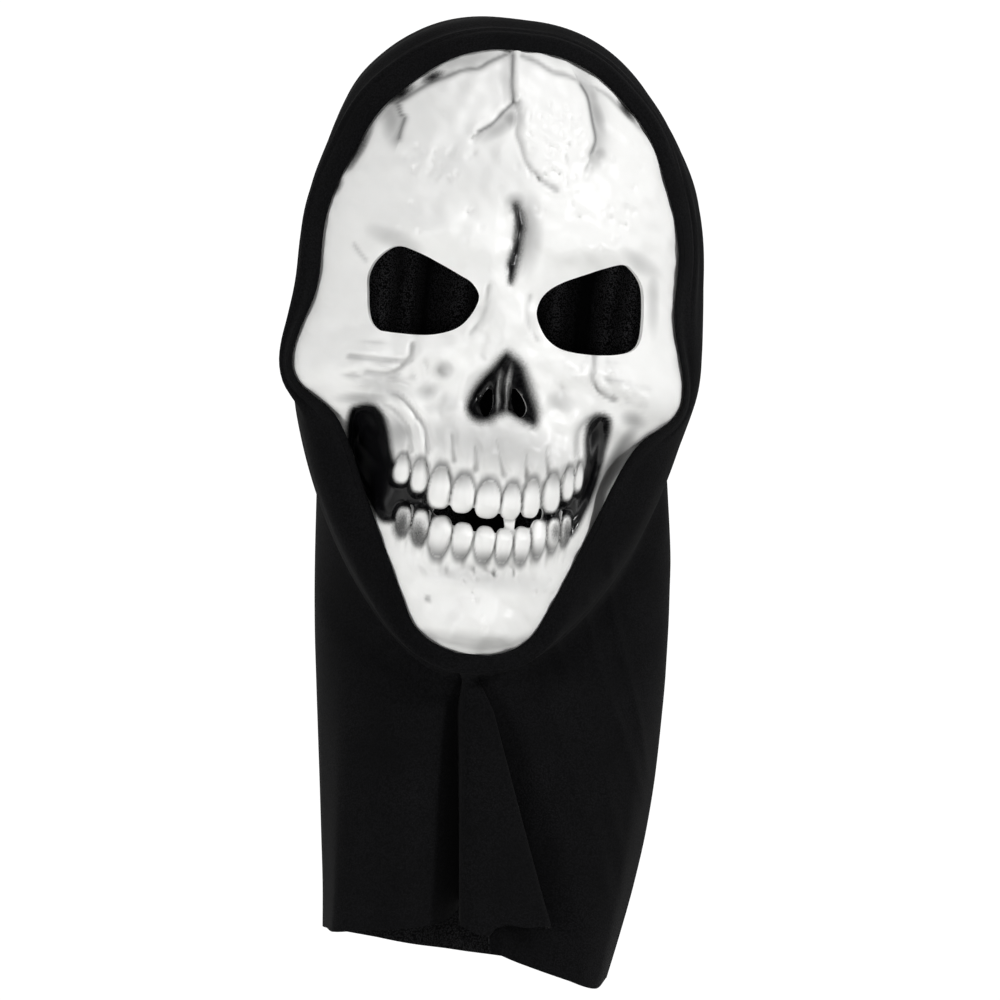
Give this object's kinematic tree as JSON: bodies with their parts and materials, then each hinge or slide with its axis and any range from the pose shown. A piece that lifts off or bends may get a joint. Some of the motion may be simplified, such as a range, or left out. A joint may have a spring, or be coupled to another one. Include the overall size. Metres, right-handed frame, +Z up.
{
  "type": "skull mask with hood",
  "caption": "Moulded white skull face with open eyes, nose and mouth, set in a black cloth hood that covers the head and hangs down as a short cape.",
  "frame": {"origin": "where the crown of the wearer's head meets the inside of the hood", "axes": "+Z up along the worn head, the face looks along -Y, +X to the right of someone facing the mask"},
  "size_m": [0.2066, 0.2146, 0.4578],
  "materials": {
    "skull_pvc": "satin white vacuum-formed PVC, airbrushed with black in its hollows",
    "hood_cloth": "matte black fine knitted polyester"
  },
  "bodies": {
    "root": {"face_shell": "skull_pvc", "opening_hem": "hood_cloth", "hood": "hood_cloth"}
  },
  "joints": []
}
